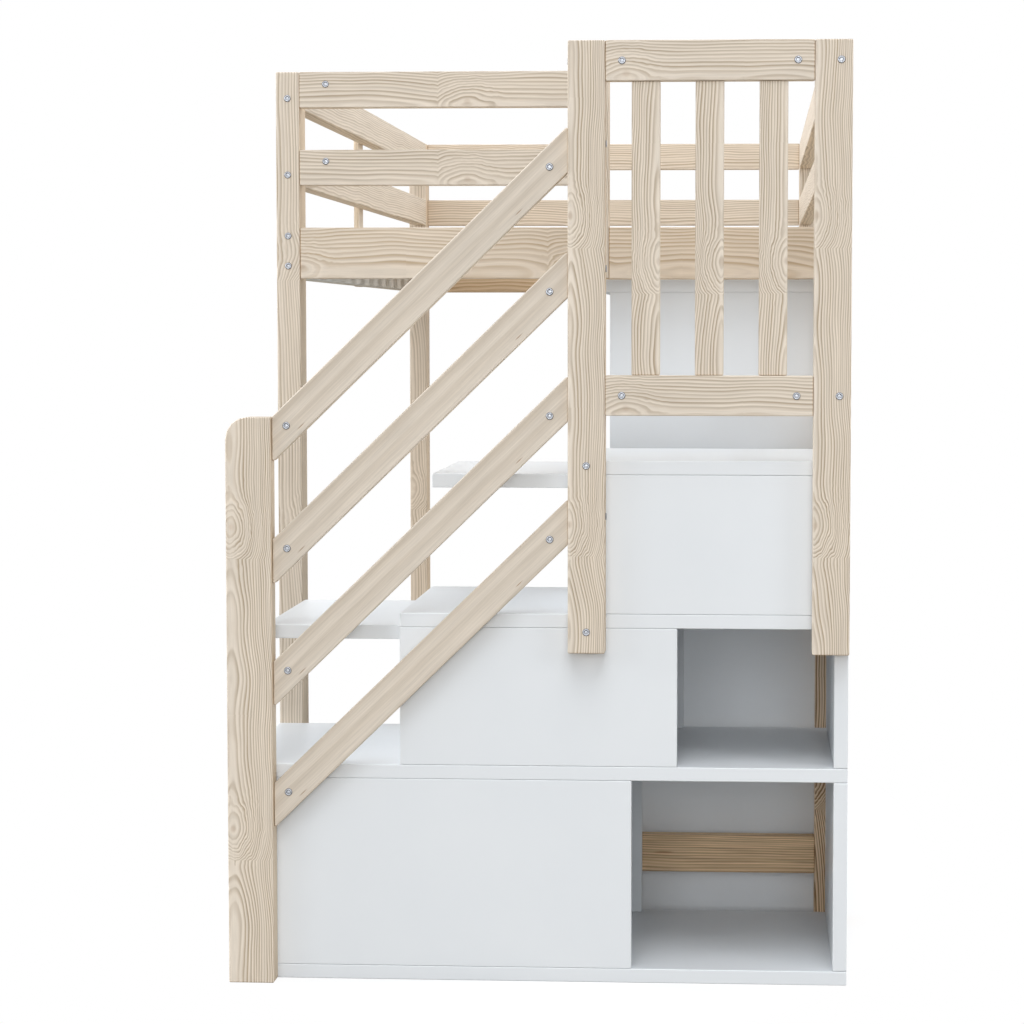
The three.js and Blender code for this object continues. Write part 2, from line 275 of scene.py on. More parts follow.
# %% Material helper
class Recipe:
    """A new material or world, and short calls that add nodes to its tree."""

    def __init__(self, name, group=bpy.data.materials, surface="Principled BSDF"):
        self.owner = group.new(name)
        self.owner.use_nodes = True
        self.tree = self.owner.node_tree
        self.surface = self.tree.nodes[surface]

    def feed(self, socket, value):
        if isinstance(value, bpy.types.NodeSocket):
            self.tree.links.new(value, socket)
        else:
            socket.default_value = value

    def make(self, kind, inputs, output=0, **settings):
        node = self.tree.nodes.new("ShaderNode" + kind)
        for key, value in settings.items():
            setattr(node, key, value)
        for socket, value in inputs.items():
            self.feed(node.inputs[socket], value)
        return node.outputs[output]

    def math(self, operation, *values):
        return self.make("Math", dict(enumerate(values)), operation=operation)

    def attribute(self, name, output="Fac"):
        return self.make("Attribute", {}, output, attribute_name=name)

    def split(self, vector):
        return [self.make("SeparateXYZ", {0: vector}, axis) for axis in range(3)]

    def noise(self, vector, stretch, detail=2.0, roughness=0.5):
        """Noise about zero, from about -0.5 to 0.5, with a coordinate stretched by three factors."""
        scaled = self.make("VectorMath", {0: vector, 1: stretch}, operation="MULTIPLY")
        settings = {"Vector": scaled, "Scale": 1.0, "Detail": detail, "Roughness": roughness}
        return self.math("SUBTRACT", self.make("TexNoise", settings, "Fac"), 0.5)

    def band(self, value, low, high, to_low=0.0, to_high=1.0):
        """A smooth step: to_low below low, to_high above high."""
        inputs = {"Value": value, "From Min": low, "From Max": high, "To Min": to_low, "To Max": to_high}
        return self.make("MapRange", inputs, "Result", interpolation_type="SMOOTHSTEP")

    def blend(self, factor, first, second, mode="MIX", clamp=True):
        inputs = {"Factor": factor, 6: first, 7: second}
        return self.make("Mix", inputs, 2, data_type="RGBA", blend_type=mode, clamp_factor=clamp)

    def set(self, **values):
        """Feeds the shader's sockets, with an underscore for each space in a socket's name."""
        for key, value in values.items():
            self.feed(self.surface.inputs[key.replace("_", " ")], value)


# %% [markdown]
# ## Pine
# Softwood shows pale early wood and thin, darker late wood. Seen in the board's own coordinates, the
# distance from the pith divided by the ring width counts the years, and the rings grow finer away from
# the pith. Slow noise bends them into arches and finer noise makes them wavy. At a knot they are pushed
# aside, which closes them into an eye, and below it they spring back in a kink.

# %% Pine material
PALE_WOOD = (0.746, 0.664, 0.564, 1.0)
LATE_WOOD = (0.406, 0.315, 0.216, 1.0)
# The late wood of the shaded sorts: darker, as painted shade for boards that lie in deep shade.
SHADED_LATE_WOOD = (0.25, 0.16, 0.08, 1.0)
GOLDEN_LATE_WOOD = (0.44, 0.32, 0.19, 1.0)
# The warm colour that a board's tone leans to, mostly as painted shade.
WARM_WOOD = (0.92, 0.74, 0.53, 1.0)
# Painted light on the sides that face right or down: their colour is multiplied by this, to the share
# below.
PAINTED_SIDE_LIGHT = (1.16, 1.02, 0.80, 1.0)
END_WOOD = (0.80, 0.68, 0.54, 1.0)
KNOT_WOOD = (0.36, 0.21, 0.11, 1.0)
PAINTED_SIDE_LIGHT_SHARE = 0.42
FLAT_CONTRAST = 0.42     # how strong the lines stay where the rings lie flat in the face
STANDING = 0.8           # the steepness from which the rings count as standing on edge
NARROWING = 7.0          # how much finer the rings grow with each metre from the pith
BEND_STRETCHES = ((5.5, 7.0, 7.0), (9.0, 40.0, 40.0), (24.0, 90.0, 90.0))
KNOT_EVERY = 0.52        # the length of board from one knot to the next
KNOT_ABOVE = 0.38        # the share of that length that lies above the knot
KNOT_UNEVEN = 0.9
KNOT_STRETCH = (34.0, 60.0, 0.0)
KNOT_CORE = (0.06, 0.24)
KINK_BELOW = 1.45        # how many half lengths of the knot the kink lies below it
KINK_SHARE = 0.85
KINK_RATES = (-36.0, -22.0)
KINK_SPREAD = -0.35
YEAR_VARIES = 0.45
SWELL_START = (0.30, 0.12)
SWELL_END = 0.80
PATCH_STRETCH = (4.0, 60.0, 0.0)


def ring_distance(mix, grain, bends):
    """The distance from the pith line, bent by slow, middle and fine noise, and how steeply it rises.

    Right in front of the pith the rings lie flat in the face, and the rise there is nothing.
    """
    _, across, through = mix.split(grain)
    flat = mix.make("CombineXYZ", {"Y": across, "Z": through})
    radius = mix.make("VectorMath", {0: flat}, "Value", operation="LENGTH")
    steep = mix.math("DIVIDE", mix.math("ABSOLUTE", across), radius)
    for stretch, amount in zip(BEND_STRETCHES, bends):
        radius = mix.math("MULTIPLY_ADD", mix.noise(grain, stretch, 1.0), amount, radius)
    return radius, steep


def knot_push(mix, oval):
    """How far the wood flowed aside at the nearest knot, from -0.7 to 1, and the knot's dark core.

    The push is a hill at the knot, exp(-d * d), where d is the distance in half lengths and half
    widths of the oval, made a little uneven. Below the knot the rings spring back past their own line
    in a sharp kink, and return slowly. The kink is an exponential too, whose rate is the sum of the
    two rates above its middle and their difference below it.
    """
    spot = mix.attribute("knot", "Vector")
    along, across, strength = mix.split(spot)
    along = mix.math("WRAP", along, KNOT_EVERY * KNOT_ABOVE, KNOT_EVERY * (KNOT_ABOVE - 1))
    aside = mix.math("DIVIDE", across, oval[1])
    flat = mix.make("CombineXYZ", {"X": mix.math("DIVIDE", along, oval[0]), "Y": aside})
    distance = mix.make("VectorMath", {0: flat}, "Value", operation="LENGTH")
    uneven = mix.math("MULTIPLY_ADD", mix.noise(spot, KNOT_STRETCH), KNOT_UNEVEN, 1.0)
    distance = mix.math("MULTIPLY", distance, uneven)
    hill = mix.math("EXPONENT", mix.math("MULTIPLY", mix.math("POWER", distance, 2.0), -1.0))
    below = mix.math("ADD", along, oval[0] * KINK_BELOW)
    rate = mix.math("MULTIPLY_ADD", mix.math("SIGN", below), KINK_RATES[1], KINK_RATES[0])
    spread = mix.math("MULTIPLY", mix.math("POWER", aside, 2.0), KINK_SPREAD)
    fall = mix.math("MULTIPLY_ADD", mix.math("ABSOLUTE", below), rate, spread)
    kink = mix.math("MULTIPLY", mix.math("EXPONENT", fall), -KINK_SHARE)
    core = mix.math("MULTIPLY", mix.band(distance, *KNOT_CORE, 1.0, 0.0), strength)
    return mix.math("MULTIPLY", mix.math("ADD", hill, kink), strength), core


def late_wood(mix, bent, years, steep, lines):
    """How much late wood there is: each year's band swells slowly and ends sharply.

    Each year has a strength of its own, and so has each patch of the board. Where the rings lie flat in
    the face, the swelling starts later and the lines are weaker.
    """
    season, year = mix.math("FRACT", years), mix.math("FLOOR", years)
    weight = mix.make("TexWhiteNoise", {"W": year}, "Value", noise_dimensions="1D")
    weight = mix.math("MULTIPLY_ADD", weight, YEAR_VARIES, 1 - YEAR_VARIES)
    start = mix.band(steep, 0.0, STANDING, *SWELL_START)
    rise, fall = mix.band(season, start, SWELL_END), mix.band(season, SWELL_END, 1.0, 1.0, 0.0)
    band = mix.math("MULTIPLY", mix.math("MULTIPLY", rise, fall), weight)
    patch = mix.math("ADD", mix.noise(bent, PATCH_STRETCH, 1.0), 1.0)
    band = mix.math("MULTIPLY", mix.math("MULTIPLY", band, patch), lines)
    return mix.math("MULTIPLY", band, mix.band(steep, 0.0, STANDING, FLAT_CONTRAST, 1.0))


# %% [markdown]
# The rings decide the colour, and three more things vary it: fibres, broad clouds, and streaks that
# follow the rings. Fibres and late wood also stand a little proud, as they do on planed softwood.

# %% Timber
FIBRE_STRETCH, FIBRE_LIGHT = (26.0, 900.0, 900.0), 0.24
CLOUD_STRETCH, CLOUD_LIGHT = (2.2, 16.0, 16.0), 0.16
STREAK_STRETCH, STREAK_LIGHT = (7.0, 330.0, 0.0), 0.34
LATE_RELIEF, FIBRE_RELIEF, WOOD_RELIEF = 0.5, 0.8, 0.0002
WOOD_ROUGHNESS, LATE_ROUGHNESS, FIBRE_ROUGHNESS = 0.56, -0.08, 0.12


def timber_light(mix, grain, bent, fibre, shade, streaks):
    """How bright the wood is: a shade, times one and a little of each kind of noise."""
    cloud = mix.noise(grain, CLOUD_STRETCH, 3.0)
    streak = mix.noise(bent, STREAK_STRETCH, 2.0)
    light = mix.math("MULTIPLY_ADD", fibre, FIBRE_LIGHT, shade)
    for noise, amount in ((cloud, CLOUD_LIGHT), (streak, streaks)):
        light = mix.math("MULTIPLY", light, mix.math("MULTIPLY_ADD", noise, amount, 1.0))
    return light


def timber_colour(mix, late, heart, dark):
    """Early wood to late wood, then a knot's heart, the board's tone with its painted shade and light, the
    painted light on turned faces, and sawn faces.

    A tone below 0 or above 1 goes past the two colours that it lies between, so it isn't clamped.
    """
    colour = mix.blend(late, PALE_WOOD, dark)
    colour = mix.blend(heart, colour, KNOT_WOOD)
    # The tone is partly painted shade, warmer and darker, and partly painted light, paler.
    warm = mix.blend(1.0, colour, WARM_WOOD, "MULTIPLY")
    colour = mix.blend(mix.attribute("tone"), colour, warm, clamp=False)
    # Painted light: faces that turn right or down are made lighter and warmer.
    turned = mix.math("MULTIPLY", mix.attribute("turned"), PAINTED_SIDE_LIGHT_SHARE)
    colour = mix.blend(turned, colour, mix.blend(1.0, colour, PAINTED_SIDE_LIGHT, "MULTIPLY"))
    ends = mix.blend(1.0, colour, END_WOOD, "MULTIPLY")
    return mix.blend(mix.attribute("sawn_end"), colour, ends)


def make_timber(name, ring, lines, bends, oval=(0.038, 0.034), push=3.0, core=0.25,
                shade=1.0, dark=LATE_WOOD, streaks=STREAK_LIGHT):
    """Timber with a ring width in metres, a strength of its lines, and three amounts of bending.

    A knot has an oval, its half length and half width. It pushes the rings aside by so many of them,
    and has a core so dark. The shade scales the whole colour, because timber with few lines would come
    out too pale. Dark is the colour of the late wood.
    """
    mix = Recipe(name)
    grain = mix.attribute("grain", "Vector")
    pushed, heart = knot_push(mix, oval)
    radius, steep = ring_distance(mix, grain, bends)
    radius = mix.math("MULTIPLY_ADD", pushed, -ring * push, radius)
    bent = mix.make("CombineXYZ", {"X": mix.split(grain)[0], "Y": radius})
    narrower = mix.math("MULTIPLY_ADD", radius, NARROWING, 1.0)
    years = mix.math("DIVIDE", mix.math("MULTIPLY", radius, narrower), ring)
    late = late_wood(mix, bent, years, steep, lines)
    fibre = mix.noise(grain, FIBRE_STRETCH, 3.0, 0.6)

    light = timber_light(mix, grain, bent, fibre, shade, streaks)
    colour = timber_colour(mix, late, mix.math("MULTIPLY", heart, core), dark)
    colour = mix.make("VectorMath", {0: colour, "Scale": light}, operation="SCALE")
    relief = mix.math("MULTIPLY_ADD", late, LATE_RELIEF, mix.math("MULTIPLY", fibre, FIBRE_RELIEF))
    bump = mix.make("Bump", {"Height": relief, "Strength": 0.35, "Distance": WOOD_RELIEF})
    gloss = mix.math("MULTIPLY_ADD", late, LATE_ROUGHNESS, WOOD_ROUGHNESS)
    roughness = mix.math("MULTIPLY_ADD", fibre, FIBRE_ROUGHNESS, gloss)
    mix.set(Base_Color=colour, Roughness=roughness, Normal=bump, Specular_IOR_Level=0.35)
    return mix.owner


# %% [markdown]
# No two boards of the bed look alike, so there are several sorts. Plain pine has wavy lines, and calm
# pine nearly straight ones. Broad pine comes from the middle of a thick tree, and golden pine has warmer
# lines. Rift-sawn boards are cut square to the rings, so theirs run straight, with short dark streaks
# for knots. The shaded sorts have darker, stronger lines: painted shade, for boards that lie in deep
# shade.

# %% Sorts of timber
SORTS = {
    "pine": dict(ring=0.0062, lines=1.05, bends=(0.026, 0.0060, 0.0010)),
    "calm_pine": dict(ring=0.0090, lines=0.78, bends=(0.014, 0.0014, 0.0004)),
    "broad_pine": dict(ring=0.0100, lines=0.86, bends=(0.020, 0.0042, 0.0008), push=1.9, shade=0.98),
    "golden_pine": dict(
        ring=0.0125, lines=0.78, bends=(0.022, 0.0045, 0.0010), push=1.6, shade=0.965,
        dark=GOLDEN_LATE_WOOD,
    ),
    "shaded_pine": dict(
        ring=0.0062, lines=1.25, bends=(0.014, 0.0040, 0.0010), shade=1.08, dark=SHADED_LATE_WOOD,
    ),
    "rift_pine": dict(
        ring=0.050, lines=0.36, bends=(0.003, 0.0012, 0.0), oval=(0.050, 0.0042), push=0.0, core=0.9,
        shade=0.89,
    ),
    "shaded_rift": dict(
        ring=0.0085, lines=0.62, bends=(0.008, 0.0024, 0.0005), oval=(0.110, 0.012), push=0.0,
        core=0.8, shade=1.02, dark=SHADED_LATE_WOOD, streaks=1.3,
    ),
    "slat_wood": dict(ring=0.0036, lines=0.45, bends=(0.012, 0.003, 0.001)),
}
timber = {name: make_timber(name, **sort) for name, sort in SORTS.items()}
print("timber", list(timber))

# %% [markdown]
# ## White board
# The boxes and the cabinet are chipboard under a thin white film. The film has a fine pebbled
# emboss that softens reflections, and the edges are closed by a strip of the same white.

# %% White board material
WHITE_FILM = (0.771, 0.797, 0.822, 1.0)
WHITE_CLOUD = (0.756, 0.784, 0.812, 1.0)
FILM_CLOUDS = (5.0, 5.0, 5.0)
FILM_PEBBLES = (1500.0, 1500.0, 1500.0)
FILM_GLOSS = (30.0, 30.0, 30.0)


def make_white_film():
    mix = Recipe("white_film")
    place = mix.make("TexCoord", {}, "Object")
    cloud = mix.noise(place, FILM_CLOUDS, 3.0)
    colour = mix.blend(mix.band(cloud, -0.2, 0.2), WHITE_FILM, WHITE_CLOUD)
    pebble = mix.noise(place, FILM_PEBBLES, 1.0)
    bump = mix.make("Bump", {"Height": pebble, "Strength": 0.12, "Distance": 0.0001})
    roughness = mix.math("MULTIPLY_ADD", mix.noise(place, FILM_GLOSS), 0.06, 0.40)
    mix.set(Base_Color=colour, Roughness=roughness, Normal=bump, Specular_IOR_Level=0.4)
    return mix.owner


white_film = make_white_film()
print("board", white_film.name)

# %% [markdown]
# ## Zinc-plated steel and webbing
# Bolts are bright with a faint blue cast, brushed a little by the plating bath. They are painted darker at
# the rim and in the socket: painted shade of the hole round each head and of the socket's walls. The tape
# that spaces the slats is plain woven polyester, so its weave is two crossed waves.

# %% Zinc and webbing materials
ZINC = (0.54, 0.56, 0.60, 1.0)
ZINC_DULL = (0.42, 0.44, 0.48, 1.0)
# Painted shade: the colour of the shadow in the hole round each head and of the socket's walls.
ZINC_PAINTED_SHADE = (0.13, 0.135, 0.15, 1.0)
ZINC_BLOOM = (260.0, 260.0, 260.0)
TAPE_WHITE = (0.78, 0.78, 0.74, 1.0)
TAPE_SHADE = (0.62, 0.62, 0.58, 1.0)
WARP_WAVE, WEFT_WAVE = 5200.0, 3900.0


def make_zinc():
    mix = Recipe("zinc")
    place = mix.make("TexCoord", {}, "Object")
    bloom = mix.noise(place, ZINC_BLOOM, 2.0)
    colour = mix.blend(mix.band(bloom, -0.15, 0.2), ZINC, ZINC_DULL)
    # Painted shade at the rim and in the socket.
    colour = mix.blend(mix.attribute("painted_shade"), colour, ZINC_PAINTED_SHADE)
    mix.set(Base_Color=colour, Roughness=mix.math("MULTIPLY_ADD", bloom, 0.2, 0.46), Metallic=0.85)
    return mix.owner


def make_webbing():
    mix = Recipe("webbing")
    x, y, _ = mix.split(mix.make("TexCoord", {}, "Object"))
    warp = mix.math("SINE", mix.math("MULTIPLY", x, WARP_WAVE))
    weft = mix.math("SINE", mix.math("MULTIPLY", y, WEFT_WAVE))
    weave = mix.math("MULTIPLY", warp, weft)
    colour = mix.blend(mix.band(weave, -1.0, 1.0), TAPE_SHADE, TAPE_WHITE)
    bump = mix.make("Bump", {"Height": weave, "Strength": 0.5, "Distance": 0.0002})
    mix.set(Base_Color=colour, Roughness=0.85, Normal=bump)
    return mix.owner


zinc = make_zinc()
webbing = make_webbing()
print("metal and cloth", zinc.name, webbing.name)

# %% [markdown]
# ## Finishing a piece
# Every piece ends the same way: it gets its material, the body that it rides on, and the CAD nodes that
# it stands for.


# %% Finish
def finish_piece(piece, material, slot, *nodes):
    """Gives a piece its material, and lets it stand for its CAD nodes. The slot is not used."""
    piece.data.materials.append(material)
    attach(piece, "root")
    if nodes:
        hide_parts(*nodes)


def corners_of(name):
    """The lowest and the highest corner of a CAD node's box."""
    low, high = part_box(name)
    return np.array(low), np.array(high)


def size_of(name):
    low, high = corners_of(name)
    return high - low


def left_end(name):
    """The vertices at a CAD node's left end."""
    vertices = read_vectors(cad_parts[name].data.vertices, "co")
    return vertices[vertices[:, 0] < vertices[:, 0].min() + HOLD_LOOP]


# %% [markdown]
# ## The white boxes and the cabinet
# Every white board is a plain rectangle, so one loop makes them all. The stair boxes' edges are broken
# a little, which leaves fine dark seams where two boards meet. The cabinet's joints are tighter.

# %% White boards
FILM_EASE = 0.0013
CABINET_EASE = 0.0003
TREADS = ("first_tread", "second_tread", "third_tread")
WHITE_PARTS = ("lower_box", "middle_box", "upper_box", "cabinet") + TREADS

white_boards = [name for name in sorted(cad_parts) if name.startswith(WHITE_PARTS)]
for name in white_boards:
    ease = CABINET_EASE if name.startswith("cabinet") else FILM_EASE
    finish_piece(make_board(name, ease), white_film, "white_board", name)
print("white boards", len(white_boards))

# %% [markdown]
# ## Straight pine pieces
# Posts, rails, stiles and balusters are straight, so their grain runs along their longest side. Where
# the pith lies decides the figure. Here it is near the left or lower edge, just in front of the face, so
# that one edge shows arches and eyes and the rest shows even lines. The boards that the photograph shows
# well have a place of their own for the pith and the knot, and a tone where they are warmer or paler.

# %% Where each board's pith, knot and tone lie
PITH_ASIDE = -0.45       # from the board's middle, as a share of its width
PITH_ASIDES = {
    "near_left_post": -0.95, "near_right_post": -0.75, "near_end_crossbar": -0.70,
    "left_side_top_rail": -0.80, "left_side_middle_rail": -0.75, "left_side_beam": -0.90,
    "right_side_top_rail": -0.80, "right_side_middle_rail": -0.75, "right_side_beam": -0.90,
    "far_end_top_rail": -0.60, "far_end_middle_rail": -0.70, "far_end_beam": -0.55,
    "near_end_beam": -0.40, "newel_post": -0.36,
}
PITH_LIFT = (0.06, 0.12)  # in front of the face, as shares of the width
PITH_LIFTS = {"newel_post": 0.20, "near_end_beam": 0.20}
PITH_CLEAR = 0.003
PITH_VARIES = 0.04
PITH_TILT = 0.006
KNOTS = {  # along and across, in metres from the board's middle, and strength
    "guard_left_post": (0.2235, -0.028, 1.0), "guard_right_post": (0.2235, -0.027, 0.9),
    "guard_baluster_1": (-0.055, 0.022, 0.9), "guard_baluster_2": (-0.055, 0.021, 0.9),
    "guard_baluster_3": (-0.054, 0.022, 0.9), "near_left_post": (0.467, 0.024, 0.5),
    "near_end_top_rail": (-0.46, -0.022, 0.8), "near_end_middle_rail": (-0.46, -0.022, 0.8),
    "guard_top_rail": (-0.14, -0.022, 0.8), "guard_lower_rail": (-0.14, -0.022, 0.8),
    "far_left_post": (-0.10, -0.010, 0.7), "near_right_post": (-0.53, 0.0, 1.0),
    "near_end_crossbar": (0.20, 0.002, 0.8), "near_end_beam": (-0.483, -0.026, 1.0),
    "newel_post": (0.30, -0.030, 1.0),
}
# Tones are partly painted shade: the crossbar, the near right post's foot, the end beams and the far
# boards are warmer and darker where they lie in shade. The side beams are painted paler at their near
# ends, a painted light where light reaches them through the slats.
TONES_SHADE_AND_LIGHT = {  # at the low end and the high end: warmer above 0, paler below it
    "near_end_crossbar": (0.95, 1.05), "near_right_post": (0.85, -0.05), "near_left_post": (0.1, 0.0),
    "far_end_middle_rail": (0.2, 0.0), "far_end_beam": (0.85, 0.65), "far_end_top_rail": (0.2, 0.1),
    "far_left_post": (0.3, 0.1), "near_end_beam": (0.06, 0.34), "left_side_beam": (-0.7, 0.0),
    "right_side_beam": (-0.4, 0.0),
}
print("boards with a knot of their own", len(KNOTS))

# %% Grain of a board
draw = np.random.default_rng(11)


def board_directions(name):
    """The unit vectors along a board's length and across its shown face, and that face's side."""
    size = size_of(name)
    along, across = int(np.argmax(size)), 2
    if along == 2:
        across = 1 if "stile" in name else 0
    through = np.cross(AXES[along], AXES[across])
    inwards = 1.0 if "left" in name else -1.0
    facing = (0.0, -1.0, 0.0) if abs(through[1]) > 0.5 else (inwards, 0.0, 0.0)
    return AXES[along], AXES[across], float(np.sign(through @ np.array(facing)))


def place_pith(name, along, across, side):
    """A pith line near one edge of the shown face and a little in front of it, with a small drift."""
    size = size_of(name)
    width, depth = np.abs(size @ across), np.abs(size @ np.cross(along, across))
    share = PITH_ASIDES.get(name, PITH_ASIDE) + draw.uniform(-PITH_VARIES, PITH_VARIES)
    aside = share * width * (-1 if "baluster" in name else 1)
    lift = PITH_LIFTS.get(name, draw.uniform(*PITH_LIFT))
    outside = side * (depth / 2 + PITH_CLEAR + lift * width)
    return (aside, outside), (draw.uniform(-PITH_TILT, PITH_TILT), draw.uniform(-PITH_TILT, PITH_TILT))


def timber_for(name):
    """The sort of pine that a board is cut from, as its figure in the photograph suggests."""
    # The crossbar and the near right post lie in deep shade behind the boxes, so their darker sorts are
    # painted shade.
    if "crossbar" in name:
        return "shaded_rift"
    if name == "near_right_post":
        return "shaded_pine"
    if "side_beam" in name or "handrail" in name:
        return "rift_pine"
    if name in ("near_end_beam", "far_end_beam"):
        return "golden_pine"
    if "side" in name or name in ("near_left_post", "far_left_post"):
        return "calm_pine"
    return "broad_pine" if name.endswith("rail") else "pine"


def finish_board(piece, name, number):
    """Gives a pine board its grain, knot, tone and timber."""
    along, across, side = board_directions(name)
    pith, tilt = place_pith(name, along, across, side)
    knot, tone = KNOTS.get(name, NO_KNOT), TONES_SHADE_AND_LIGHT.get(name, NO_TONE)
    add_grain(piece, along, across, number, pith, tilt, knot, tone)
    finish_piece(piece, timber[timber_for(name)], "pine", name)


print("the newel is cut from", timber_for("newel_post"))

# %% [markdown]
# ## Beams, entry post and newel
# These pieces are not plain rectangles. The near beam has a housing cut into its face, which takes
# the entry post's tongue. Each side beam has a rabbet for the slats, and the newel has one round shoulder.
# Each is a plate too, only with another outline, and fills its box in the CAD model.

# %% Shaped pine boards
PINE_EASE = 0.0018
TONGUE = 0.012
SEAM = 0.0003
RABBET = 0.014
NEWEL_CORNER = 0.038
BEAM_EASE = 0.0020


def make_near_beam(name):
    """Seen from above: a bar with a shallow notch in its front edge, as wide as the entry post."""
    low, high = corners_of(name)
    post_low, post_high = corners_of("entry_post")
    left, right = post_low[0] - SEAM, post_high[0] + SEAM
    notch = low[1] + TONGUE + SEAM
    corners = [
        (low[0], low[1]), (left, low[1]), (left, notch), (right, notch),
        (right, low[1]), (high[0], low[1]), (high[0], high[1]), (low[0], high[1]),
    ]
    outline = eased_outline(corners, BEAM_EASE)
    return make_plate(name + "_board", "z", outline, (low[2], high[2]), BEAM_EASE)


def make_entry_post(name):
    """Seen from the side: a post whose lower end is cut back to a tongue behind its face."""
    low, high = corners_of(name)
    shoulder = corners_of("near_end_beam")[1][2] + SEAM
    corners = [
        (low[1], low[2]), (low[1] + TONGUE, low[2]), (low[1] + TONGUE, shoulder),
        (high[1], shoulder), (high[1], high[2]), (low[1], high[2]),
    ]
    outline = eased_outline(corners, PINE_EASE)
    return make_plate(name + "_board", "x", outline, (low[0], high[0]), PINE_EASE)


def make_side_beam(name):
    """Seen from the near end: a bar with a step along its inner top edge, where the slats lie.

    The left beam is the right one's mirror image, so its corners are read the other way round.
    """
    low, high = corners_of(name)
    seat = corners_of("slat_roll")[0][2] - SEAM
    left = name.startswith("left")
    inner, outer = (high[0], low[0]) if left else (low[0], high[0])
    step = inner - RABBET if left else inner + RABBET
    corners = [
        (low[2], outer), (low[2], inner), (seat, inner), (seat, step), (high[2], step), (high[2], outer),
    ]
    outline = eased_outline(corners[::-1] if left else corners, PINE_EASE)
    return make_plate(name + "_board", "y", outline, (low[1], high[1]), PINE_EASE)


def make_newel(name):
    """Seen from the front: a broad flat post whose outer top corner is a quarter circle."""
    low, high = corners_of(name)
    soft = PINE_EASE + 2 * HOLD_LOOP
    corners = rectangle((low[2], low[0]), (high[2], high[0]))
    outline = rounded_outline(corners, [soft, NEWEL_CORNER, soft, soft])
    return make_plate(name + "_board", "y", outline, (low[1], high[1]), PINE_EASE)


SHAPED_MAKERS = {
    "near_end_beam": make_near_beam,
    "entry_post": make_entry_post,
    "left_side_beam": make_side_beam,
    "right_side_beam": make_side_beam,
    "newel_post": make_newel,
}
print("shaped boards", len(SHAPED_MAKERS))

# %% Pine boards
straight = [
    name for name in sorted(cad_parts)
    if name not in white_boards and name not in SHAPED_MAKERS and name != "slat_roll"
    and "handrail" not in name
]
pine_boards = straight + list(SHAPED_MAKERS)
for number, name in enumerate(pine_boards):
    shaped = SHAPED_MAKERS.get(name)
    finish_board(shaped(name) if shaped else make_board(name, PINE_EASE), name, number)
print("pine boards", len(pine_boards))

# %% [markdown]
# ## Handrails
# Four boards climb side by side from the newel to the guard, cut plumb at both ends. The grain follows
# the slope, because such a rail is sawn from a straight board. All four show a short streak beside the
# lower nut.

# %% Handrails
HANDRAIL_NUTS = (0.025, 0.031)
HANDRAIL_PITH = (-0.062, 0.020)
HANDRAIL_PITH_VARIES = 0.004
HANDRAIL_TILT = 0.01
STREAK_FROM_NUT = (0.0175, -0.018)


def plumb_cut(name):
    """The height of a handrail's cut, read from the CAD model's left end."""
    heights = left_end(name)[:, 2]
    return heights.max() - heights.min()


def make_handrail(name):
    """The parallelogram between the plumb cuts, and the unit vector along its slope."""
    low, high = corners_of(name)
    cut = plumb_cut(name)
    corners = [(low[2], low[0]), (high[2] - cut, high[0]), (high[2], high[0]), (low[2] + cut, low[0])]
    outline = eased_outline(corners[::-1], PINE_EASE)
    piece = make_plate(name + "_board", "y", outline, (low[1], high[1]), PINE_EASE)
    slope = np.array([high[0] - low[0], 0.0, high[2] - cut - low[2]])
    return piece, slope / np.linalg.norm(slope)


handrails = [name for name in sorted(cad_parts) if name.startswith("handrail")]
for number, name in enumerate(handrails, len(pine_boards)):
    piece, along = make_handrail(name)
    across = np.array([-along[2], 0.0, along[0]])
    aside = HANDRAIL_PITH[0] + draw.uniform(-HANDRAIL_PITH_VARIES, HANDRAIL_PITH_VARIES)
    low, high = corners_of(name)
    nut_along = (HANDRAIL_NUTS[0] - (high[0] - low[0]) / 2) / along[0]
    streak = (nut_along + STREAK_FROM_NUT[0], STREAK_FROM_NUT[1], 1.0)
    tilt = (0.0, draw.uniform(-HANDRAIL_TILT, HANDRAIL_TILT))
    add_grain(piece, along, across, number, (aside, HANDRAIL_PITH[1]), tilt, streak)
    finish_piece(piece, timber[timber_for(name)], "pine", name)
print("handrails", len(handrails), "plumb cut", round(plumb_cut(handrails[0]), 4))

# %% [markdown]
# ## Bolts and barrel nuts
# The frame is held by bolts that screw into barrel nuts. Both show as a bright disc with a hexagonal
# socket. One surface serves all: rings of a given radius and height, where each ring is blended from a
# circle to a hexagon. A hexagon's radius is its half width divided by the cosine of the angle from the
# flat. Each ring also says how much painted shade it has: the rim's rings stand for the shadow in the hole
# round the head, and the socket's rings for its shaded walls.

# %% Bolt surface
BOLT_AROUND = 36
BOLT_RADIUS = 0.0060
BOLT_PROUD = 0.0016
# The last number of each row is painted shade: the outer rings stand for the shadow in the hole round the
# head, the socket rings for its shaded walls.
BOLT_PROFILE = (  # radius and height as shares of the bolt's, how hexagonal, how dark
    (1.08, 0.00, 0, 1.0), (1.00, 0.04, 0, 1.0), (1.00, 0.40, 0, 0.9), (0.97, 0.70, 0, 0.7),
    (0.91, 0.90, 0, 0.4), (0.82, 1.00, 0, 0.1), (0.70, 0.98, 0, 0.0), (0.63, 0.86, 1, 0.3),
    (0.58, 0.50, 1, 0.7), (0.55, 0.20, 1, 0.7), (0.46, 0.15, 1, 0.5), (0.36, 0.24, 0, 0.0),
    (0.16, 0.34, 0, 0.0), (0.02, 0.36, 0, 0.0),
)


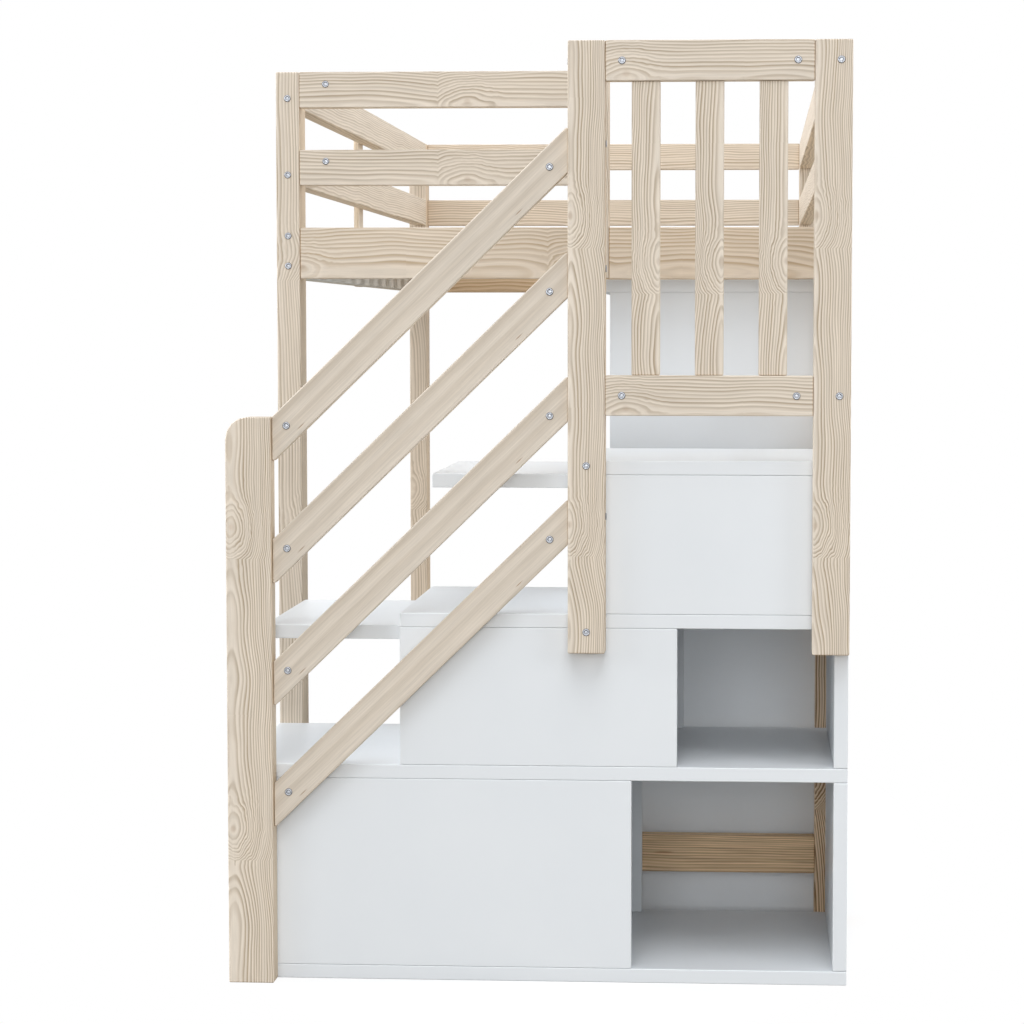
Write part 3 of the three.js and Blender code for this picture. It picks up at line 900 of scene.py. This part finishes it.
def bolt_grid(spin):
    """Rings of a bolt's head about +Z, from each row's radius, height and how hexagonal it is."""
    share, height, hexagonal, _ = np.array(BOLT_PROFILE, float).T
    turn = np.linspace(0, 2 * np.pi, BOLT_AROUND, endpoint=False)
    from_flat = (turn + spin) % (np.pi / 3) - np.pi / 6
    hexagon = 1 / np.cos(from_flat)
    stretch = 1 + hexagonal[:, None] * (hexagon - 1)
    radius = BOLT_RADIUS * share[:, None] * stretch
    x, y = radius * np.cos(turn), radius * np.sin(turn)
    z = np.broadcast_to((BOLT_PROUD * height)[:, None], x.shape)
    return np.stack([x, y, z], 2).reshape(-1, 3)


def turned_to(normal):
    """Columns that turn +Z to a direction along one of the axes."""
    normal = np.array(normal, float)
    side = np.roll(np.abs(normal), 1)
    return np.column_stack([side, np.cross(normal, side), normal])


def make_bolts(name, spots):
    """One mesh for a group of bolts. Each spot is a place on a face and that face's outward normal."""
    vertices, faces = [], []
    pattern = ring_faces(len(BOLT_PROFILE), BOLT_AROUND)
    for place, normal in spots:
        start = len(vertices) * len(BOLT_PROFILE) * BOLT_AROUND
        faces += [[start + corner for corner in face] for face in pattern]
        grid = bolt_grid(draw.uniform(0, np.pi / 3)) @ turned_to(normal).T
        vertices.append(grid + np.array(place))
    piece = link(name, np.concatenate(vertices), faces)
    # Each ring's painted shade, repeated for every bolt of the group.
    painted_shade = np.repeat(np.array(BOLT_PROFILE)[:, 3], BOLT_AROUND)
    store(piece, "painted_shade", np.tile(painted_shade, len(vertices)))
    finish_piece(piece, zinc, "zinc_steel")
    print(name, len(vertices))


# %% [markdown]
# The places follow from the boards: so far from a board's end, on the middle line of its face.

# %% Guard and handrail bolts
NUT_FROM_END = 0.028
GUARD_BOLT_HEIGHTS = (0.6113, 0.8941)
HANDRAIL_BOLT_RISE = 0.009
FRONT, BACK, LEFT, RIGHT = (0, -1, 0), (0, 1, 0), (-1, 0, 0), (1, 0, 0)


def on_face(name, normal, height=None):
    """The middle of a board's face, or the point of its middle line at a height."""
    low, high = corners_of(name)
    place = (low + high) / 2
    axis = int(np.argmax(np.abs(normal)))
    place[axis] = high[axis] if normal[axis] > 0 else low[axis]
    if height is not None:
        place[2] = height
    return place


def near_ends(name, normal, distance, height=None):
    """Two points on a board's face, at a distance from each of its ends."""
    size = size_of(name)
    step = AXES[np.argmax(size)] * (size.max() / 2 - distance)
    middle = on_face(name, normal, height)
    return [(middle - step, normal), (middle + step, normal)]


def guard_bolts():
    """Nuts in the guard's rails, and bolts through its posts into rails, return rails and boxes."""
    for name in ("guard_top_rail", "guard_lower_rail"):
        yield from near_ends(name, FRONT, NUT_FROM_END)
    for name in ("guard_return_top_rail", "guard_return_lower_rail"):
        x, _, z = on_face(name, FRONT)
        yield (x, corners_of("guard_right_post")[0][1], z), FRONT
    for height in GUARD_BOLT_HEIGHTS:
        yield on_face("guard_left_post", FRONT, height), FRONT
    yield on_face("guard_left_post", LEFT, on_face("guard_top_rail", FRONT)[2]), LEFT


def handrail_bolts():
    """Nuts on the middle line near each end, and bolts in the newel's and the guard post's outer sides."""
    for name in handrails:
        low, high = corners_of(name)
        cut = plumb_cut(name)
        rise = (high[2] - low[2] - cut) / (high[0] - low[0])
        for x in (low[0] + HANDRAIL_NUTS[0], high[0] - HANDRAIL_NUTS[1]):
            yield (x, low[1], low[2] + cut / 2 + rise * (x - low[0])), FRONT
        middle = (low[1] + high[1]) / 2
        yield (corners_of("newel_post")[0][0], middle, low[2] + cut / 2), LEFT
        upper = high[2] - cut / 2 + HANDRAIL_BOLT_RISE
        yield (corners_of("guard_left_post")[1][0], middle, upper), RIGHT


make_bolts("guard_bolts", guard_bolts())
make_bolts("handrail_bolts", handrail_bolts())

# %% [markdown]
# On the bed itself each rail end has a bolt through the post, and a nut set into the rail. The bolts of
# the end rails pass above those of the side rails. The near rails' right ends show no nut.

# %% Bed frame bolts
RAILS = ("top_rail", "middle_rail")
RAIL_NUT_FROM_END = 0.050
END_BOLT_HEIGHTS = (1.583, 1.439, 1.286, 1.254, 0.132)
SIDE_BOLT_HEIGHTS = (1.5566, 1.4137, 1.2993, 1.2430)


def post_bolts():
    """Bolts in the outer faces of the four corner posts."""
    for end, face in (("near", FRONT), ("far", BACK)):
        rail_middle = on_face(f"{end}_end_crossbar", LEFT)[1]
        for side, turned in (("left", LEFT), ("right", RIGHT)):
            name = f"{end}_{side}_post"
            for height in SIDE_BOLT_HEIGHTS:
                yield on_face(name, face, height), face
            for height in END_BOLT_HEIGHTS:
                yield (on_face(name, turned)[0], rail_middle, height), turned


def rail_nuts():
    """Nuts in the rails' outer faces, level with the bolts that they take."""
    for rail, height in zip(RAILS, END_BOLT_HEIGHTS):
        yield from near_ends(f"near_end_{rail}", FRONT, RAIL_NUT_FROM_END, height)[:1]
        yield from near_ends(f"far_end_{rail}", BACK, RAIL_NUT_FROM_END, height)
    for rail, height in zip(RAILS, SIDE_BOLT_HEIGHTS):
        for side, face in (("left", LEFT), ("right", RIGHT)):
            yield from near_ends(f"{side}_side_{rail}", face, RAIL_NUT_FROM_END, height)


make_bolts("post_bolts", post_bolts())
make_bolts("rail_nuts", rail_nuts())

# %% [markdown]
# ## Slatted base
# The slats come as a roll: two tapes stapled to their tops keep them at even gaps. The CAD model holds
# slats and tapes as one solid, and its vertices tell where each slat begins and ends.

# %% Slats and tapes
SLAT_EASE = 0.0015
SLAT_PITH_ASIDE = 0.03
SLAT_PITH_DEPTH = (0.03, 0.05)
SLAT_TILT = 0.02
FIRST_SLAT_NUMBER = 60
TAPE_THICK = 0.0009
TAPE_CLEAR = 0.0001
TAPE_EDGE = 0.4          # the corner radius as a share of the thickness
TAPE_WIDTH = 0.025
TAPE_INSET = 0.160
TAPE_SAG = 0.0025
TAPE_END = 0.006
TAPE_STEPS = 9

roll_low, roll_high = corners_of("slat_roll")
slat_top = roll_high[2] - TAPE_THICK - TAPE_CLEAR


def slat_spans():
    """The Y spans of the slats: the faces at the roll's left edge belong to slats alone."""
    return np.unique(np.round(left_end("slat_roll")[:, 1], 5)).reshape(-1, 2)


def tape_path(spans):
    """The tape's underside: level over each slat, and a parabola down across each gap.

    A share s of the way across a gap it hangs by the sag times 4 s (1 - s).
    """
    along, height = [], []
    for (_, start), (end, _) in zip(spans[:-1], spans[1:]):
        share = np.linspace(0, 1, TAPE_STEPS)
        along.append(start + share * (end - start))
        height.append(slat_top - TAPE_SAG * 4 * share * (1 - share))
    ends = [spans[0][0] + TAPE_END], [spans[-1][1] - TAPE_END]
    return np.concatenate([ends[0], *along, ends[1]]), np.concatenate([[slat_top], *height, [slat_top]])


def make_tape(name, middle):
    """A flat strip: a thin oblong loop, in X and Z, carried along the tape's path."""
    along, height = tape_path(slat_spans())
    section = rectangle((-TAPE_WIDTH / 2, 0), (TAPE_WIDTH / 2, TAPE_THICK))
    loop, _ = rounded_outline(section, TAPE_THICK * TAPE_EDGE)
    vertices = np.empty((len(along), len(loop), 3))
    vertices[..., 0] = middle + loop[:, 0]
    vertices[..., 1] = along[:, None]
    vertices[..., 2] = height[:, None] + loop[:, 1]
    faces = [face[::-1] for face in ring_faces(*vertices.shape[:2])]
    finish_piece(link(name, vertices.reshape(-1, 3), faces), webbing, "webbing", "slat_roll")


for number, (near, far) in enumerate(slat_spans(), 1):
    outline = eased_outline(rectangle((roll_low[0], near), (roll_high[0], far)), SLAT_EASE)
    piece = make_plate(f"slat_{number}", "z", outline, (roll_low[2], slat_top), SLAT_EASE)
    pith = (draw.uniform(-SLAT_PITH_ASIDE, SLAT_PITH_ASIDE), draw.uniform(*SLAT_PITH_DEPTH))
    tilt = (0.0, draw.uniform(-SLAT_TILT, SLAT_TILT))
    add_grain(piece, AXES[0], AXES[1], FIRST_SLAT_NUMBER + number - 1, pith, tilt)
    finish_piece(piece, timber["slat_wood"], "slat_wood", "slat_roll")
make_tape("left_tape", roll_low[0] + TAPE_INSET)
make_tape("right_tape", roll_high[0] - TAPE_INSET)
print("slats", number)

# %% [markdown]
# ## Light, floor and background
# A studio's light is soft and even from top to bottom, so most of it comes from far away. Broad lamps
# stand in front, at both sides, behind and above. Four parallel lights, which don't weaken with
# distance, stand for a high window in front, a lower one below it and one to each side. An even sky
# fills the rest. All lamps have a trace of blue.

# %% Lights
LAMP_TINT = (0.982, 1.0, 1.022)


def place_light(name, kind, power, turn, place=(0.0, 0.0, 0.0)):
    """Adds a light that shines along the direction turn, and returns its settings."""
    data = bpy.data.lights.new(name, kind)
    data.energy = power
    data.color = LAMP_TINT
    lamp = bpy.data.objects.new(name, data)
    lamp.matrix_world = Matrix.Translation(place) @ turn.to_track_quat("-Z", "Y").to_matrix().to_4x4()
    scene.collection.objects.link(lamp)
    return data


LAMPS = {  # place, target, width and height, watts
    "front_lamp": ((0.3, -10.5, 2.3), (0.0, -1.0, 0.8), (4.0, 3.0), 218.0),
    "left_front_lamp": ((-7.0, -6.0, 3.5), (0.0, -0.4, 0.8), (3.0, 3.0), 80.0),
    "right_front_lamp": ((7.0, -6.0, 3.5), (0.0, -0.4, 0.8), (3.0, 3.0), 122.0),
    "left_lamp": ((-8.0, -0.6, 3.0), (0.0, -0.4, 0.8), (3.0, 3.0), 403.0),
    "right_lamp": ((8.0, 0.6, 3.4), (0.0, 0.0, 0.8), (3.5, 3.5), 250.0),
    "back_lamp": ((0.0, 8.0, 6.4), (0.0, 0.0, 0.8), (4.0, 3.0), 231.0),
    "overhead_lamp": ((0.2, 0.2, 5.2), (0.0, 0.2, 0.6), (4.4, 4.4), 30.0),
}
WINDOWS = {  # direction towards the light, its spread in degrees, strength
    "high_window": ((0.02, -0.45, 0.90), 35.0, 1.27),
    "front_window": ((0.03, -0.75, 0.60), 30.0, 0.42),
    "left_window": ((-1.00, -0.05, 0.28), 25.0, 0.91),
    "right_window": ((0.80, 0.00, 0.75), 5.0, 0.50),
}
for name, (place, target, size, power) in LAMPS.items():
    lamp = place_light(name, "AREA", power, Vector(target) - Vector(place), place)
    lamp.shape = "RECTANGLE"
    lamp.size, lamp.size_y = size
for name, (towards, spread, power) in WINDOWS.items():
    place_light(name, "SUN", power, -Vector(towards)).angle = np.radians(spread)
print("lights", len(LAMPS) + len(WINDOWS))

# %% [markdown]
# The floor is white and keeps the object's shadow. Away from the bed it turns pure white, as the
# background is. Light Path tells what kind of ray asks. The camera sees white, and so do reflections of
# the world, while the light that the world and the floor give is weaker, so that undersides stay dark.

# %% Floor and background
WORLD_STRENGTH = 0.17
PURE_WHITE = (1.0, 1.0, 1.0, 1.0)
FLOOR_SIZE = 60.0
FLOOR_WHITE = (0.90, 0.90, 0.90, 1.0)
FLOOR_BOUNCE = (0.32, 0.30, 0.27, 1.0)
FLOOR_OVAL = (0.60, 1.35)
FLOOR_FADE = (0.92, 1.25)
FLOOR_GLOW = 0.35


def make_world():
    """An even sky for light, and plain white for what the camera and reflections see."""
    mix = Recipe("studio", bpy.data.worlds, "Background")
    rays = [mix.make("LightPath", {}, f"Is {kind} Ray") for kind in ("Camera", "Glossy")]
    inputs = {"Value": mix.math("MAXIMUM", *rays), "To Min": WORLD_STRENGTH, "To Max": 1.0}
    mix.set(Color=PURE_WHITE, Strength=mix.make("MapRange", inputs, "Result"))
    scene.world = mix.owner


def make_floor():
    """A plane with a shader that fades to pure white outside an oval around the bed."""
    half = FLOOR_SIZE / 2
    corners = [(x, y, 0.0) for x, y in rectangle((-half, -half), (half, half))]
    floor = link("floor", np.array(corners), [[0, 1, 2, 3]])
    mix = Recipe("floor")
    place = mix.make("TexCoord", {}, "Object")
    shares = (1 / FLOOR_OVAL[0], 1 / FLOOR_OVAL[1], 0.0)
    oval = mix.make("VectorMath", {0: place, 1: shares}, operation="MULTIPLY")
    distance = mix.make("VectorMath", {0: oval}, "Value", operation="LENGTH")
    seen = mix.make("LightPath", {}, "Is Camera Ray")
    glow = mix.math("MULTIPLY", seen, mix.band(distance, *FLOOR_FADE, FLOOR_GLOW, 1.0))
    mix.set(Base_Color=mix.blend(seen, FLOOR_BOUNCE, FLOOR_WHITE), Roughness=0.9, Specular_IOR_Level=0.1)
    white = mix.make("Emission", {"Color": PURE_WHITE, "Strength": 1.0})
    shader = mix.make("MixShader", {0: glow, 1: mix.surface.outputs["BSDF"], 2: white})
    mix.tree.links.new(shader, mix.tree.nodes["Material Output"].inputs["Surface"])
    floor.data.materials.append(mix.owner)


make_world()
make_floor()
scene.view_settings.view_transform = "Standard"
print("background", scene.world.name)
